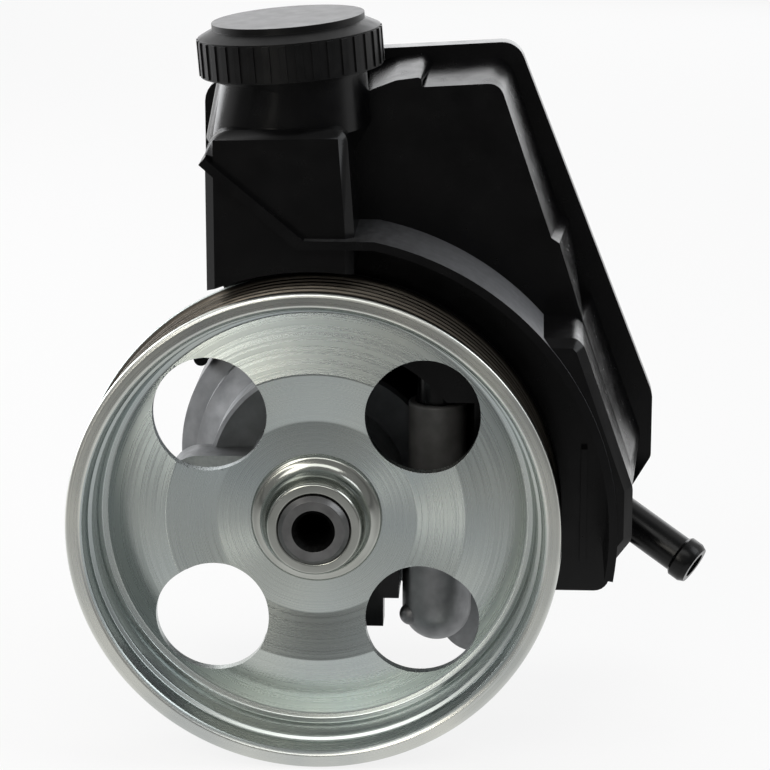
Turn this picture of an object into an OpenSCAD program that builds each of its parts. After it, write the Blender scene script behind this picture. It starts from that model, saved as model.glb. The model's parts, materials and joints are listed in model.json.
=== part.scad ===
// Belt-driven vane pump for power steering, with a moulded fluid reservoir around it.
// Millimetres. The shaft runs along Y with the pulley in front, and Z is up.
// The origin is on the shaft axis, in the middle plane of the belt grooves.

/* [Pulley] */
// outside diameter of the pulley
pulley_d = 128; // [124:0.5:130]
// width of the rim over both flanges
rim_w = 25; // [24:0.5:26]
// depth of a belt groove
groove_depth = 2.8; // [2.2:0.1:3]
// thickness of the pressed web
web_t = 3; // [2.5:0.1:3.4]
// diameter of an access hole
hole_d = 30; // [26:0.5:31]
// diameter of the circle through the access holes
hole_circle_d = 78.4; // [76:0.2:80]
// outside diameter of the hub collar
hub_d = 25; // [24:0.2:26]
// how far the hub stands in front of the belt plane
hub_reach = 7.3; // [6:0.1:8]

/* [Shaft and bearing] */
// diameter of the shaft in the hub
shaft_d = 18.5; // [18:0.1:19]
// how far the shaft end stands in front of the hub
shaft_proud = 1.7; // [1:0.1:3]
// diameter of the threaded puller bore
puller_bore_d = 8.5; // [7:0.1:10]
// outside diameter of the front bearing
bearing_od = 35; // [34:0.5:36]
// width of the front bearing
bearing_w = 10; // [9:0.5:11]
// diameter of a bearing ball
ball_d = 4.8; // [4.4:0.1:5]
// outside diameter of the shaft seal
seal_d = 28; // [26:0.5:30]

/* [Pump body] */
// front face of the nose behind the belt plane
nose_y = 6.8; // [6.6:0.1:7.4]
// mounting face of the ears behind the belt plane
pad_y = 27.5; // [26.5:0.5:28.5]
// front face of the round body behind the belt plane
body_y = 36; // [35.5:0.5:37]
// diameter of the nose
nose_d = 43; // [42:0.5:43.5]
// diameter of the round body at the front
body_d = 64; // [63:0.5:65]
// diameter of the round body in the middle
body_mid_d = 74.6; // [73:0.2:76]
// diameter of the rear flange and of the cover
cover_d = 84.6; // [83:0.2:86]
// distance of the ear holes from the shaft axis
ear_reach = 33.5; // [33:0.5:34.5]
// width of an ear
ear_w = 18; // [16:0.5:18.5]
// diameter of a threaded ear hole
ear_hole_d = 6.8; // [5:0.1:8.4]
// length of a threaded hole, right through its ear
ear_hole_l = 11; // [10:0.5:11.5]
// thickness of the rear cover
cover_t = 8.5; // [7:0.5:10]
// distance of a cover bolt from the cover's edge
bolt_edge = 6.8; // [6.6:0.1:7.2]
// diameter of a cover bolt
bolt_d = 6; // [5:0.5:6]

/* [Cartridge] */
// diameter of the pump chamber
chamber_d = 56.1; // [54:0.1:57]
// thickness of the front plate
front_plate_t = 5; // [4:0.5:6]
// width of the cam ring
ring_w = 18; // [16:0.5:19]
// thickness of the pressure plate
pressure_plate_t = 8; // [6:0.5:9]
// thinnest wall of the cam ring
cam_wall = 5.6; // [5:0.1:6.5]
// how much longer the longest radius of the oval bore is
cam_rise = 2.4; // [1.5:0.1:2.8]
// number of vanes
vane_n = 10; // [8:1:12]
// thickness of a vane
vane_t = 1.5; // [1.2:0.1:1.8]

/* [Inlet and valve] */
// sideways place of the inlet boss
inlet_x = 30.8; // [30.6:0.1:31.4]
// place of the inlet boss behind the belt plane
inlet_y = 26; // [25.8:0.1:26.6]
// diameter of the inlet boss
inlet_boss_d = 18.6; // [18.2:0.1:18.8]
// diameter of the suction sleeve
sleeve_d = 15.5; // [14.6:0.1:15.6]
// top of the suction sleeve above the shaft axis
sleeve_top = 26; // [24:0.5:28]
// sideways place of the flow valve
valve_x = 41; // [40:0.5:42]
// depth of the flow valve below the shaft axis
valve_drop = 40; // [39.5:0.5:41]
// diameter of the flow valve bore
valve_bore_d = 13; // [12:0.5:13]
// travel of the flow valve
valve_stroke = 8; // [5:0.5:8]

/* [Reservoir] */
// wall thickness of the reservoir
wall = 2.5; // [2:0.1:2.8]
// gap between the rim and the drip lip, for the belt
belt_room = 12; // [11:0.5:12.5]
// thickness of the drip lip
lip_t = 2.2; // [1.8:0.1:2.6]
// front edge of the drip lip in front of the belt plane
lip_front = 9.5; // [9:0.1:10.5]
// front wall of the tank behind the belt plane
tank_front = 17.5; // [16.5:0.1:17.6]
// joint plane of the weld flange behind the belt plane
flange_y = 46.5; // [45.5:0.5:47]
// thickness of one half of the weld flange
flange_t = 3; // [2.5:0.1:3.5]
// how far the weld flange stands out
flange_w = 6.5; // [5:0.1:7]
// rear wall of the tank behind the belt plane
tank_rear = 72; // [68:0.5:74]
// left wall of the tank
tank_left = 25.5; // [24:0.1:26]
// right wall of the lower box
tank_right = 77; // [76.5:0.1:77.5]
// bottom of the lower box below the shaft axis
tank_drop = 24; // [22:0.1:24]
// height of the tank's top right corner
tank_top = 112.5; // [111:0.1:113]
// right side of the side block
block_right = 81.9; // [81.5:0.1:83]
// height of the side block's top
block_top = 51.8; // [50:0.1:53]
// front wall of the filler box in front of the belt plane
box_front = 6.5; // [6:0.1:7.5]
// height of the filler box's top
box_top = 104; // [103.5:0.1:105]
// gap between the rim and the filler box
box_gap = 4; // [3.5:0.1:5]

/* [Filler] */
// sideways place of the neck at its foot
neck_x = -5.2; // [-5.4:0.1:-4.6]
// place of the neck behind the belt plane
neck_y = 15.5; // [15.4:0.1:16]
// lean of the neck to the left in degrees
neck_lean = 4.5; // [4:0.5:6]
// outside diameter of the neck
neck_d = 38; // [37:0.2:38.4]
// height of the neck above the tank's left top
neck_h = 20.5; // [20:0.5:22]
// outside diameter of the cap
cap_d = 47.5; // [46.5:0.5:49]
// height of the ribbed skirt
cap_skirt_h = 9.8; // [8.5:0.1:10.4]

/* [Return nozzle] */
// outside diameter of the return nozzle
nozzle_d = 10; // [9:0.1:10.5]
// bore of the return nozzle
nozzle_bore_d = 7; // [6:0.1:7.5]
// length of the return nozzle from inside the wall
nozzle_l = 27; // [24:0.5:28]

/* [Hidden] */

$fn = 96;
eps = 0.01;
seat_gap = 0.03;
run_gap = 0.05;
over = 1;

rim_r = pulley_d / 2;
tip_r = rim_r - 0.8;
root_r = tip_r - groove_depth;
rim_in_r = root_r - 2.9;
groove_n = 6;
groove_pitch = 3.56;
crest_r = hole_circle_d / 2;
crest_y = 0.7;
web_y = 2.8;
web_edge_r = rim_in_r - 2.4;
web_edge_y = 4.2;
hub_neck_r = 15;
hub_foot_r = 17.2;
hub_back = web_y + web_t;

shaft_front = -hub_reach - shaft_proud;
bearing_y = nose_y + 3;
bearing_id = shaft_d - 1.5;
bearing_mid_r = (bearing_od + bearing_id) / 4;
bearing_back = bearing_y + bearing_w;
seal_shaft_d = bearing_id - 0.2;
seal_back = bearing_back + 7.5;
spline_d = seal_shaft_d - 1.8;
rear_shaft_d = 12;

chamber_y = body_y + 3.5;
ring_y = chamber_y + front_plate_t;
plate_y = ring_y + ring_w;
spring_y = plate_y + pressure_plate_t;
spring_h = 4;
spigot_h = 3;
joint_y = spring_y + spring_h + spigot_h;
cover_back = joint_y + cover_t;
foot_t = 4;
mid_y = body_y + 16.5;
flange_root_y = joint_y - 15;
inside_d = chamber_d - 2 * seat_gap;
cam_min_r = inside_d / 2 - cam_wall - cam_rise;
slot_r = spline_d / 2 + 4.2;
bolt_circle_d = cover_d - 2 * bolt_edge;

valve_front_y = body_y + 0.5;
valve_bottom_y = valve_front_y + 4;
valve_boss_d = valve_bore_d + 6;
union_y = joint_y - 6.5;
union_back = union_y + 8;
union_thread_d = valve_bore_d + 3;
spool_y = valve_bottom_y + valve_stroke + 1.5;
spool_cup = 9;
spring_wire = 1.2;
clip_x = 14;
clip_drop = body_d / 2 - 5.5;

lip_r = rim_r + belt_room;
lip_out_r = lip_r + lip_t;
lip_knee = [-3.8, lip_r - 1.6];
lip_tip = [-28.1, lip_r + 19.8];
saddle_r = cover_d / 2 + 1;
floor_z = sqrt(pow(saddle_r + wall, 2) - pow(inlet_x - 6, 2));
stub_top = floor_z + 2.5;
cap_r = cap_d / 2;
cap_bore_r = neck_d / 2 + 1.15;
neck_bore_r = neck_d / 2 - wall;
neck_foot = [neck_x, neck_y, box_top - 3];
gasket_t = 2;
cap_y0 = neck_h + gasket_t - 7.3;
cap_shoulder_h = 1.9;
corner_x = 46.6;
step_x = 26.6;
nozzle_dir = [0.8, -0.36, -0.48];
nozzle_start = [block_right - 4.1, 24.7, -2.7];

// Plane geometry

function unit(v) = v / norm(v);
function arc(r, a, b, n) = [for (i = [0:n]) r * [cos(a + (b - a) * i / n), sin(a + (b - a) * i / n)]];
function bend(c, r, a, d, n) = [for (i = [0:n]) c + r * [cos(a + d * i / n), sin(a + d * i / n)]];
function turn(a, b) = ((b - a + 540) % 360) - 180;
function heading(v) = atan2(v[1], v[0]);
function corner_at(b, u, w, r, half, n) =
  let (c = b + unit(u + w) * r / sin(half))
  let (a0 = heading(b + u * r / tan(half) - c), a1 = heading(b + w * r / tan(half) - c))
  bend(c, r, a0, turn(a0, a1), n);
function corner(a, b, c, r) =
  let (u = unit(a - b), w = unit(c - b))
  r < eps ? [b] : corner_at(b, u, w, r, acos(u * w) / 2, 6);
function rounded(p, rs) =
  let (n = len(p))
  [for (i = [0:n - 1]) each corner(p[(i + n - 1) % n], p[i], p[(i + 1) % n], rs[i])];
function normal(a, b) = unit([b[1] - a[1], a[0] - b[0]]);
function shifted(v, m, k, d, e) =
  let (c = m * k)
  abs(c) > 0.9999 ? v + d * m : v + ((d - e * c) * m + (e - d * c) * k) / (1 - c * c);
function grown(p, ds) =
  let (n = len(p))
  [for (i = [0:n - 1])
    let (h = (i + n - 1) % n)
    shifted(p[i], normal(p[h], p[i]), normal(p[i], p[(i + 1) % n]), ds[h], ds[i])];
function same(p, d) = [for (i = p) d];

// Outline of the tank, from the lower box round to the saddle over the pump

tank_pts = [
  [tank_right - 30, -tank_drop],
  [tank_right, -tank_drop],
  [tank_right, -tank_drop + 15.5],
  [block_right, -1.5],
  [block_right, 12.5],
  [block_right - 13, block_top - 1.8],
  [62.4, 70.8],
  [60.3, 72.2],
  [corner_x, tank_top],
  [step_x, tank_top - 1.2],
  [step_x, tank_top + 1.4],
  [20, tank_top + 0.5],
  [13, tank_top - 2.2],
  [9, tank_top - 7.5],
  [8, box_top - 1],
  [-tank_left, box_top - 1.8],
  [-tank_left, 58],
  [-6, 38],
  [20, 18],
  [36, -10]
];
tank_radii = [2, 4, 1.5, 3, 6, 8, 0, 0, 4, 0, 1, 6, 5, 4, 0, 5, 6, 0, 0, 0];
tank_inner_radii = [0, 2, 0, 1, 4, 6, 0, 0, 2, 0, 0, 3, 3, 2, 0, 3, 4, 0, 0, 0];

// Line that the weld flange stands out from, straight where the tank wall has a jog

flange_pts = [
  [tank_right - 30, -tank_drop],
  [tank_right, -tank_drop],
  [tank_right, -tank_drop + 18.3],
  [block_right, 2.7],
  [block_right, 22.4],
  [corner_x, tank_top],
  [8, tank_top - 2.3],
  [8, box_top - 1],
  [-tank_left, box_top - 1.8],
  [-tank_left, 58],
  [-6, 38],
  [20, 18],
  [36, -10]
];
flange_low = 2.5;
flange_widths = [
  flange_low, flange_low, 4, flange_w, flange_w, flange_w, flange_w, flange_w, flange_w, 4, 4, 4, 4
];
flange_radii = [2, 5, 2, 3, 8, 6, 6, 0, 6, 6, 0, 0, 0];

box_pts = [[-27, 55], [10.5, 55], [10.5, lip_out_r], [8.7, box_top + 0.4], [-27, box_top - 0.4]];
box_radii = [0, 0, 0, 3.5, 7];
box_inner_radii = [0, 0, 0, 1, 4];

block_pts = [
  [50, -6.8],
  [block_right - 4, -6.8],
  [block_right, -1.5],
  [block_right, 12.5],
  [block_right - 13, block_top - 2.2],
  [block_right - 15, block_top],
  [50, block_top]
];
block_radii = [0, 0, 3, 6, 3, 3, 0];
block_inner_radii = [0, 0, 1, 4, 0, 0, 0];

lip_end_a = -9;
lip_dir = unit(lip_tip - lip_knee);
lip_norm = [lip_dir[1], -lip_dir[0]];
lip_top_z = lip_knee[1] + lip_t;
lip_low = arc(lip_r, asin(lip_knee[1] / lip_r), lip_end_a, 40);
lip_high = arc(lip_out_r, lip_end_a, asin(lip_top_z / lip_out_r), 40);
lip_pts = concat(
  [lip_tip, lip_knee],
  lip_low,
  lip_high,
  [lip_knee + lip_norm * lip_t + [0.4, 0.6], lip_tip + lip_norm * lip_t]
);

// Building blocks

module plate(y0, y1) {
  translate([0, y1, 0]) rotate([90, 0, 0]) linear_extrude(y1 - y0) children();
}

module revolve() {
  rotate([-90, 0, 0]) rotate_extrude() children();
}

module rod(r, y0, y1) {
  translate([0, y0, 0]) rotate([-90, 0, 0]) cylinder(r = r, h = y1 - y0);
}

module pipe(r_out, r_in, y0, y1) {
  difference() {
    rod(r_out, y0, y1);
    rod(r_in, y0 - over, y1 + over);
  }
}

module ring(r, minor, y) {
  translate([0, y, 0]) revolve() translate([r, 0]) circle(r = minor, $fn = 32);
}

module around(n, first, r) {
  for (i = [0:n - 1]) rotate([0, -first - 360 * i / n, 0]) translate([r, 0, 0]) children();
}

module coil(r, wire, h, turns, steps) {
  sides = 8;
  n = turns * steps;
  pts = [
    for (i = [0:n])
      let (a = 360 * i / steps, z = wire / 2 + (h - wire) * i / n)
      for (k = [0:sides - 1])
        let (q = r + wire / 2 * cos(360 * k / sides))
        [q * cos(a), q * sin(a), z + wire / 2 * sin(360 * k / sides)]
  ];
  tube = [
    for (i = [0:n - 1])
      for (k = [0:sides - 1])
        let (a = i * sides + k, b = i * sides + (k + 1) % sides)
        [a, a + sides, b + sides, b]
  ];
  ends = [[for (k = [0:sides - 1]) k], [for (k = [sides - 1:-1:0]) n * sides + k]];
  rotate([-90, 0, 0]) polyhedron(points = pts, faces = concat(tube, ends), convexity = 6);
}

module on_neck() {
  translate(neck_foot) rotate([0, -neck_lean, 0]) children();
}

module on_nozzle() {
  turn_y = acos(nozzle_dir[2]);
  turn_z = atan2(nozzle_dir[1], nozzle_dir[0]);
  translate(nozzle_start) rotate([0, turn_y, turn_z]) children();
}

module at_inlet(z) {
  translate([inlet_x, inlet_y, z]) children();
}

module at_valve() {
  translate([valve_x, 0, -valve_drop]) children();
}

// Rotating group

module pulley() {
  half = rim_w / 2;
  grooves = [
    for (i = [0:groove_n - 1])
      let (c = (i - (groove_n - 1) / 2) * groove_pitch)
      each [[tip_r, c - 1.4], [root_r, c - 0.38], [root_r, c + 0.38], [tip_r, c + 1.4]]
  ];
  front = [
    [rim_in_r + 2.5, 0.5 - half], [rim_in_r + 3.1, -half], [rim_r - 1, -half], [rim_r - 0.3, 0.3 - half],
    [rim_r, 1 - half], [rim_r, 1.4 - half]
  ];
  back = [
    [rim_r, half - 1.4], [rim_r, half - 0.5], [rim_r - 0.5, half], [rim_in_r + 0.6, half],
    [rim_in_r, half - 0.6], [rim_in_r, web_edge_y + web_t + 1.4], [rim_in_r - 0.7, web_edge_y + web_t + 0.5],
    [web_edge_r, web_edge_y + web_t - 0.1]
  ];
  web = [
    [crest_r, crest_y + web_t], [26.3, web_y + web_t], [hub_neck_r, web_y + web_t],
    [hub_neck_r, web_y], [26.3, web_y], [crest_r, crest_y]
  ];
  inner = [
    [web_edge_r, web_edge_y], [rim_in_r - 1.1, web_edge_y - 0.5], [rim_in_r - 0.2, web_edge_y - 1.8],
    [rim_in_r + 0.2, -5.5], [rim_in_r + 1.4, -6.3], [rim_in_r + 1.9, 1.1 - half]
  ];
  color([0.66, 0.68, 0.66])
  difference() {
    revolve() polygon(concat(front, grooves, back, web, inner));
    around(4, 45, crest_r) rod(hole_d / 2, -half, half);
  }
}

module pulley_hub() {
  r = hub_d / 2;
  bore = shaft_d / 2 + seat_gap;
  flare = [for (i = [0:8]) [r + 4.2 * (1 - cos(i * 11.25)), 1.6 - 5.1 * (1 - sin(i * 11.25))]];
  color([0.72, 0.72, 0.70])
  revolve() polygon(concat(
    [[bore, 0.5 - hub_reach], [bore + 0.5, -hub_reach], [r - 0.6, -hub_reach], [r, 0.6 - hub_reach]],
    flare,
    [[hub_foot_r, 2.2], [hub_foot_r, web_y], [hub_neck_r - seat_gap, web_y]],
    [[hub_neck_r - seat_gap, hub_back], [bore, hub_back]]
  ));
}

module drive_shaft() {
  r = shaft_d / 2;
  br = bearing_id / 2;
  sr = seal_shaft_d / 2;
  er = rear_shaft_d / 2;
  end_y = joint_y + 4.5;
  color([0.6, 0.6, 0.6])
  difference() {
    union() {
      revolve() polygon([
        [0, shaft_front], [r - 1.2, shaft_front], [r, shaft_front + 1.2], [r, bearing_y],
        [br, bearing_y], [br, bearing_back], [sr, bearing_back], [sr, ring_y - 1], [spline_d / 2 - 0.7, ring_y - 1],
        [spline_d / 2 - 0.7, plate_y], [er, plate_y], [er, end_y - 0.8], [er - 0.8, end_y], [0, end_y]
      ]);
      plate(ring_y, plate_y - 0.5) spline(spline_d / 2, 0);
    }
    rod(puller_bore_d / 2, shaft_front - over, 17);
    translate([0, shaft_front - eps, 0]) rotate([-90, 0, 0])
      cylinder(r1 = puller_bore_d / 2 + 1.4, r2 = puller_bore_d / 2, h = 2.4);
  }
}

module spline(r, gap) {
  teeth = 16;
  polygon([
    for (i = [0:teeth - 1])
      for (s = [[0.10, -0.6], [0.25, 0], [0.60, 0], [0.75, -0.6]])
        let (a = 360 * (i + s[0]) / teeth)
        (r + s[1] + gap) * [cos(a), sin(a)]
  ]);
}

module bearing_inner_race() {
  color([0.7, 0.71, 0.72])
  difference() {
    pipe(bearing_mid_r - 1.7, bearing_id / 2 + seat_gap, bearing_y, bearing_back);
    ring(bearing_mid_r, ball_d / 2 + run_gap, bearing_y + bearing_w / 2);
  }
}

module bearing_outer_race() {
  color([0.7, 0.71, 0.72])
  difference() {
    pipe(bearing_od / 2 - seat_gap, bearing_mid_r + 1.7, bearing_y, bearing_back);
    ring(bearing_mid_r, ball_d / 2 + run_gap, bearing_y + bearing_w / 2);
  }
}

module bearing_balls() {
  color([0.8, 0.8, 0.82])
  around(10, 0, bearing_mid_r) translate([0, bearing_y + bearing_w / 2, 0]) sphere(d = ball_d, $fn = 32);
}

module bearing_cage() {
  mid = bearing_y + bearing_w / 2;
  color([0.45, 0.38, 0.2])
  difference() {
    pipe(bearing_mid_r + 0.8, bearing_mid_r - 0.8, mid - ball_d / 2 - 0.9, mid + ball_d / 2 + 0.9);
    around(10, 0, bearing_mid_r - 2)
      translate([0, mid, 0]) rotate([0, 90, 0]) cylinder(d = ball_d + 4 * run_gap, h = 4);
  }
}

module rotor() {
  r = cam_min_r - 0.3;
  color([0.55, 0.56, 0.57])
  difference() {
    plate(ring_y + run_gap, plate_y - run_gap) difference() {
      circle(r = r);
      spline(spline_d / 2, run_gap);
    }
    around(vane_n, 0, slot_r)
      translate([0, ring_y - over, -vane_t / 2 - run_gap]) cube([r, ring_w + 2 * over, vane_t + 2 * run_gap]);
  }
}

module vanes() {
  color([0.62, 0.62, 0.63])
  around(vane_n, 0, slot_r + 0.4)
    translate([0, ring_y + run_gap, -vane_t / 2]) cube([cam_min_r - slot_r - 0.8, ring_w - 2 * run_gap, vane_t]);
}

// Pump body

module pump_housing() {
  nr = nose_d / 2;
  color([0.58, 0.59, 0.6])
  difference() {
    union() {
      revolve() polygon([
        [0, nose_y], [nr - 1.5, nose_y], [nr, nose_y + 1.5], [nr, body_y + over], [body_d / 2 - 1, body_y],
        [body_d / 2, body_y + 1], [body_d / 2, mid_y - 5], [body_mid_d / 2 - 1.2, mid_y],
        [body_mid_d / 2, mid_y + 1.2], [body_mid_d / 2, flange_root_y - 4], [cover_d / 2 - 1, flange_root_y],
        [cover_d / 2, flange_root_y + 1], [cover_d / 2, joint_y], [0, joint_y]
      ]);
      for (a = [90, 180, 270]) ear(a);
      inlet_boss();
      valve_boss();
    }
    bearing_and_seal_bores();
    rod(chamber_d / 2, chamber_y, joint_y + over);
    around(4, 45, bolt_circle_d / 2) rod(bolt_d / 2 + seat_gap, joint_y - 14, joint_y + over);
    for (a = [90, 180, 270])
      rotate([0, -a, 0]) translate([ear_reach, 0, 0]) rod(ear_hole_d / 2, pad_y - over, pad_y + ear_hole_l + 0.5);
    inlet_bores();
    valve_bores();
    translate([clip_x, 0, -clip_drop]) rod(2.5, body_y - over, body_y + 3);
  }
}

module ear(a) {
  tip = bend([ear_reach, 0], ear_w / 2, -90, 180, 24);
  plate(pad_y, pad_y + ear_hole_l) rotate(a) polygon(concat([[0, -ear_w / 2]], tip, [[0, ear_w / 2]]));
}

module inlet_boss() {
  r = inlet_boss_d / 2;
  dome = bend([0, r - 41], r, -90, 90, 12);
  at_inlet(0) rotate_extrude() polygon(concat(dome, [[r, 2], [0, 2]]));
  translate([inlet_x - r + 1.5, inlet_y, -30]) cube([2 * r - 4, body_y + 5 - inlet_y, 30]);
}

module valve_boss() {
  r = valve_boss_d / 2;
  at_valve() rod(r, valve_front_y + 2, union_back);
  at_valve() rod(r - 2, valve_front_y, valve_front_y + 3);
  at_valve() rod(r + 2, union_y - 1, union_back);
  plate(body_y + 6, union_y) rotate(atan2(-valve_drop, valve_x)) translate([18, -7.5]) square([34, 15]);
}

module bearing_and_seal_bores() {
  rod(bearing_od / 2, nose_y - over, bearing_back);
  rod(bearing_od / 2 + 1.2, bearing_y - 1.55, bearing_y);
  rod(seal_d / 2, bearing_back - over, seal_back);
  rod(seal_shaft_d / 2 + 0.5, seal_back - over, chamber_y + over);
}

module inlet_bores() {
  at_inlet(-7) cylinder(d = sleeve_d + 2 * seat_gap, h = 9 + over);
  at_inlet(-26) cylinder(r = 5.5, h = 20);
  translate([27, 0, -12]) rod(3, inlet_y, chamber_y + 8);
  at_inlet(-33) rotate([0, 0, 210]) rotate([0, 90, 0]) cylinder(r = 2.2, h = 8);
  at_inlet(-33) rotate([0, 0, 210]) translate([8, 0, 0]) sphere(r = 3 + seat_gap, $fn = 48);
}

module valve_bores() {
  at_valve() rod(valve_bore_d / 2, valve_bottom_y, union_back);
  at_valve() rod(union_thread_d / 2 + seat_gap, union_y, union_back + over);
  translate([0, ring_y + ring_w / 2, 0]) rotate([0, atan2(valve_drop, valve_x), 0])
    translate([chamber_d / 2 - 2, 0, 0]) rotate([0, 90, 0]) cylinder(r = 2.5, h = 24);
}

module bearing_snap_ring() {
  color([0.3, 0.3, 0.3])
  difference() {
    pipe(bearing_od / 2 + 1.1, bearing_od / 2 - 2, bearing_y - 1.5, bearing_y);
    translate([-2.5, 0, -bearing_od]) cube([5, bearing_od, bearing_od]);
  }
}

module shaft_seal() {
  ro = seal_d / 2 - seat_gap;
  ri = seal_shaft_d / 2 + run_gap;
  color([0.1, 0.1, 0.1])
  revolve() polygon([
    [ri + 0.8, bearing_back + 0.4], [ro, bearing_back + 0.4], [ro, seal_back], [ro - 2, seal_back],
    [ro - 2, bearing_back + 2.4], [ri + 2.4, bearing_back + 2.4], [ri + 2, seal_back - 1.4],
    [ri + 0.4, seal_back - 1.4], [ri, seal_back - 2.2], [ri + 0.8, bearing_back + 3]
  ]);
}

module gallery_plug() {
  color([0.75, 0.75, 0.76])
  at_inlet(-33) rotate([0, 0, 210]) translate([8, 0, 0]) sphere(r = 3, $fn = 48);
}

module pipe_clip() {
  color([0.05, 0.05, 0.05]) {
    difference() {
      union() {
        translate([clip_x - 4.4, body_y - 16, -clip_drop - 1.5]) cube([11.2, 16, 10]);
        translate([clip_x - 4.4, body_y - 16, -clip_drop - 9.5]) cube([7, 8, 9]);
      }
      rod(nose_d / 2 + 0.5, body_y - 26, body_y + over);
    }
    translate([clip_x, 0, -clip_drop]) rod(2.5 - seat_gap, body_y - over, body_y + 2.6);
  }
}

// Cartridge

module dowel_places() {
  for (a = [90, 270]) rotate([0, -a, 0]) translate([chamber_d / 2 - 3.4, 0, 0]) children();
}

module kidney_ports(y0, y1) {
  port_r = cam_min_r - 4.5;
  for (a = [45, 135, 225, 315])
    plate(y0, y1) polygon(concat(arc(port_r + 3.5, a - 16, a + 16, 8), arc(port_r, a + 16, a - 16, 8)));
}

module port_plate(y0, y1, bore) {
  difference() {
    rod(inside_d / 2, y0, y1);
    rod(bore, y0 - over, y1 + over);
    kidney_ports(y0 - over, y1 + over);
    dowel_places() rod(1.5 + seat_gap, y0 - over, y1 + over);
  }
}

module front_plate() {
  color([0.5, 0.5, 0.52]) port_plate(chamber_y, ring_y, seal_shaft_d / 2 + 0.3);
}

module cam_ring() {
  bore = [
    for (i = [0:71])
      let (a = 5 * i)
      (cam_min_r + cam_rise * (1 + cos(2 * a)) / 2) * [cos(a), sin(a)]
  ];
  color([0.48, 0.48, 0.5])
  difference() {
    plate(ring_y, plate_y) difference() {
      circle(d = inside_d);
      polygon(bore);
    }
    dowel_places() rod(1.5 + seat_gap, ring_y - over, plate_y + over);
  }
}

module pressure_plate() {
  color([0.5, 0.5, 0.52]) port_plate(plate_y, spring_y, rear_shaft_d / 2 + 0.3);
}

module dowel_pins() {
  color([0.7, 0.7, 0.7]) dowel_places() rod(1.5, chamber_y + 0.5, spring_y - 1);
}

module pressure_spring() {
  color([0.35, 0.35, 0.36])
  translate([0, spring_y, 0]) coil(chamber_d / 2 - 12, 1.6, spring_h, 2, 36);
}

module rear_bush() {
  color([0.7, 0.5, 0.25])
  pipe(8 - seat_gap, rear_shaft_d / 2 + seat_gap, joint_y - spigot_h, joint_y + 4);
}

module rear_cover() {
  color([0.58, 0.59, 0.6])
  difference() {
    union() {
      revolve() polygon([
        [0, joint_y - spigot_h], [inside_d / 2 - 1.9, joint_y - spigot_h], [inside_d / 2 - 1.9, joint_y],
        [cover_d / 2, joint_y], [cover_d / 2, cover_back - 1.5], [cover_d / 2 - 1.5, cover_back],
        [16, cover_back], [14, cover_back + 4], [0, cover_back + 4]
      ]);
      for (a = [0, 90, 180, 270])
        rotate([0, -a, 0]) translate([12, cover_back - over, -2]) cube([18, 3 + over, 4]);
    }
    rod(8, joint_y - spigot_h - over, joint_y + 5);
    around(4, 45, bolt_circle_d / 2) rod(bolt_d / 2 + 0.3, joint_y - over, cover_back + over);
  }
}

module cover_o_ring() {
  color([0.06, 0.06, 0.06])
  pipe(inside_d / 2, inside_d / 2 - 1.9 + seat_gap, joint_y - 2.2, joint_y - 0.2);
}

module cover_bolt(seat) {
  rod(bolt_d / 2, seat - cover_t - 12.5, seat + over);
  translate([0, seat, 0]) rotate([-90, 0, 0]) cylinder(d = bolt_d * 1.9, h = 4.2, $fn = 6);
}

module cover_bolts() {
  color([0.3, 0.3, 0.31])
  for (a = [45, 135, 225, 315])
    rotate([0, -a, 0]) translate([bolt_circle_d / 2, 0, 0]) cover_bolt(a < 180 ? cover_back + foot_t : cover_back);
}

// Flow control valve

module flow_valve_spool() {
  r = valve_bore_d / 2 - seat_gap;
  color([0.65, 0.66, 0.67])
  at_valve() revolve() polygon([
    [0, spool_y + spool_cup], [r - 2, spool_y + spool_cup], [r - 2, spool_y], [r, spool_y],
    [r, spool_y + 10], [r - 1.4, spool_y + 10.6], [r - 1.4, spool_y + 15.4], [r, spool_y + 16],
    [r, union_y - 1.5], [r - 1.5, union_y], [0, union_y]
  ]);
}

module flow_valve_spring() {
  color([0.4, 0.4, 0.42])
  at_valve() translate([0, valve_bottom_y, 0])
    coil(valve_bore_d / 2 - 2.9, spring_wire, spool_y + spool_cup - valve_bottom_y, 6, 20);
}

module outlet_union() {
  tr = union_thread_d / 2;
  color([0.62, 0.6, 0.5])
  at_valve() difference() {
    union() {
      rod(tr, union_y, union_back + 3);
      translate([0, union_back + 2, 0]) rotate([-90, 0, 0]) cylinder(d = 21.9, h = 7, $fn = 6);
      rod(8.6, union_back + 8, union_back + 18);
    }
    rod(3, union_y - over, union_back + 10);
    rod(6.2, union_back + 6, union_back + 18 + over);
  }
}

module union_o_ring() {
  color([0.06, 0.06, 0.06])
  at_valve() pipe(union_thread_d / 2 + 1.9, union_thread_d / 2 + seat_gap, union_back, union_back + 2);
}

// Suction side

module suction_sleeve() {
  color([0.07, 0.07, 0.07])
  difference() {
    at_inlet(-7) cylinder(d = sleeve_d, h = sleeve_top + 7);
    at_inlet(-7 - over) cylinder(r = 5.5, h = sleeve_top + 7 + 2 * over);
  }
}

// Reservoir

module tank_shape(p, grow) {
  half = sleeve_d / 2 + 2.2 + grow;
  difference() {
    polygon(p);
    circle(r = saddle_r + grow);
    translate([inlet_x - half, 0]) square([2 * half, sleeve_top + 1.5 + grow]);
  }
}

module flange_half(y0, y1) {
  plate(y0, y1) tank_shape(rounded(grown(flange_pts, flange_widths), flange_radii), -4);
}

module tank_cavity(y0, y1) {
  plate(y0, y1) tank_shape(rounded(grown(tank_pts, same(tank_pts, -wall)), tank_inner_radii), wall);
}

module eased_block(p, radii, y0, y1) {
  ease = 2.2;
  hull() {
    plate(y0 + ease, y1) polygon(rounded(p, radii));
    plate(y0, y0 + ease) polygon(grown(p, same(p, -ease)));
  }
}

module filler_box() {
  difference() {
    eased_block(box_pts, box_radii, -box_front, tank_front + over);
    rod(rim_r + box_gap, -box_front - over, tank_front + 2 * over);
  }
}

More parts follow.
